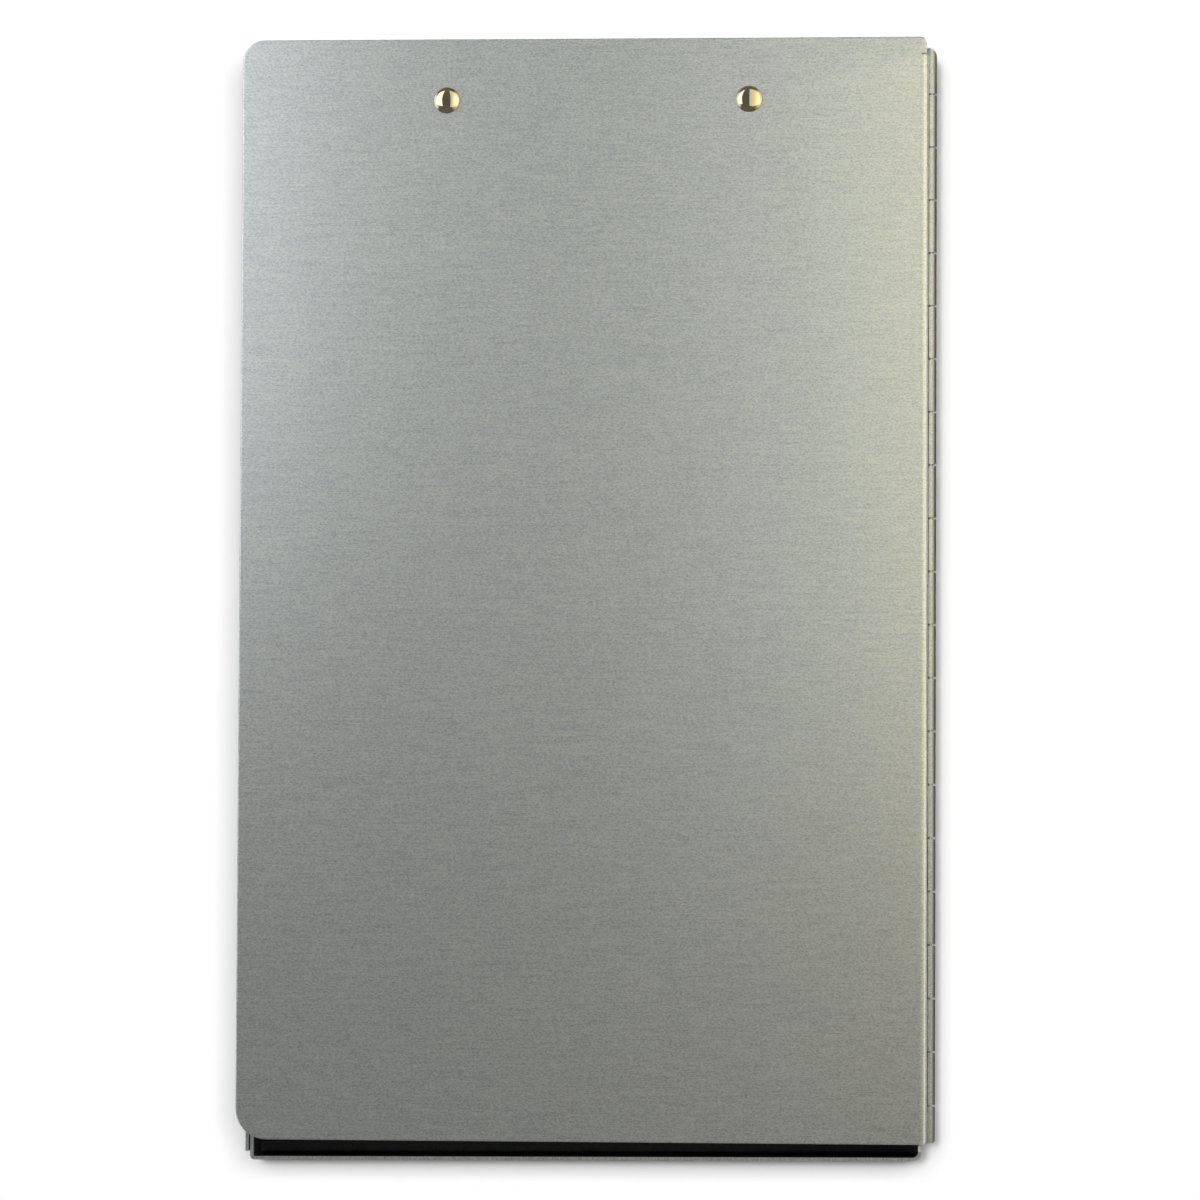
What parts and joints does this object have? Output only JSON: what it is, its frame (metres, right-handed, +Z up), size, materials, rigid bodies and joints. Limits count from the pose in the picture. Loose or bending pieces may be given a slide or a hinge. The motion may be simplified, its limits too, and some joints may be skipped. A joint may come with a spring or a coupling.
{
  "type": "storage clipboard box",
  "caption": "Legal-size sheet-metal form holder: a shallow tray with a side-hinged back plate, a sprung paper clip inside the plate and a snap catch.",
  "frame": {"origin": "middle of the closed case's outline, level with the underside of the tray's floor", "axes": "+X towards the hinge, +Y towards the clip end, +Z up out of the tray through the back plate"},
  "size_m": [0.2488, 0.4009, 0.027],
  "materials": {
    "brushed_aluminium": "fine cross-brushed, satin",
    "sheet_aluminium": "mill finish, lightly brushed",
    "pin_steel": "drawn bright wire",
    "rivet_aluminium": "bright headed",
    "clip_steel": "nickel plated, semi-bright",
    "rivet_nickel": "polished warm nickel",
    "pad_rubber": "matt black",
    "spring_steel": "oiled spring steel"
  },
  "bodies": {
    "tray": {"storage_tray": "sheet_aluminium", "hinge_pin": "pin_steel", "corner_rivets": "rivet_aluminium", "latch_catch": "spring_steel", "latch_rivets": "rivet_aluminium"},
    "plate": {"back_plate": "brushed_aluminium", "clip_rivets": "rivet_nickel", "clip_base": "clip_steel", "clip_axle": "pin_steel", "clip_spring": "spring_steel", "latch_striker": "sheet_aluminium"},
    "lever": {"clip_lever": "clip_steel", "jaw_pad_left": "pad_rubber", "jaw_pad_right": "pad_rubber"}
  },
  "joints": [
    {"name": "plate_hinge", "type": "hinge", "parent": "tray", "child": "plate", "pos_m": [0.1224, 0, 0.0194], "axis": [0, 1, 0], "range_deg": [0, 180], "deforming": ["latch_catch"]},
    {"name": "clip_lever_hinge", "type": "hinge", "parent": "plate", "child": "lever", "pos_m": [0.0034, 0.17545, 0.0168], "axis": [1, 0, 0], "range_deg": [0, 26], "stiffness_Nm_per_rad": 0.5, "springref_deg": -34.38, "deforming": ["clip_spring"]}
  ]
}
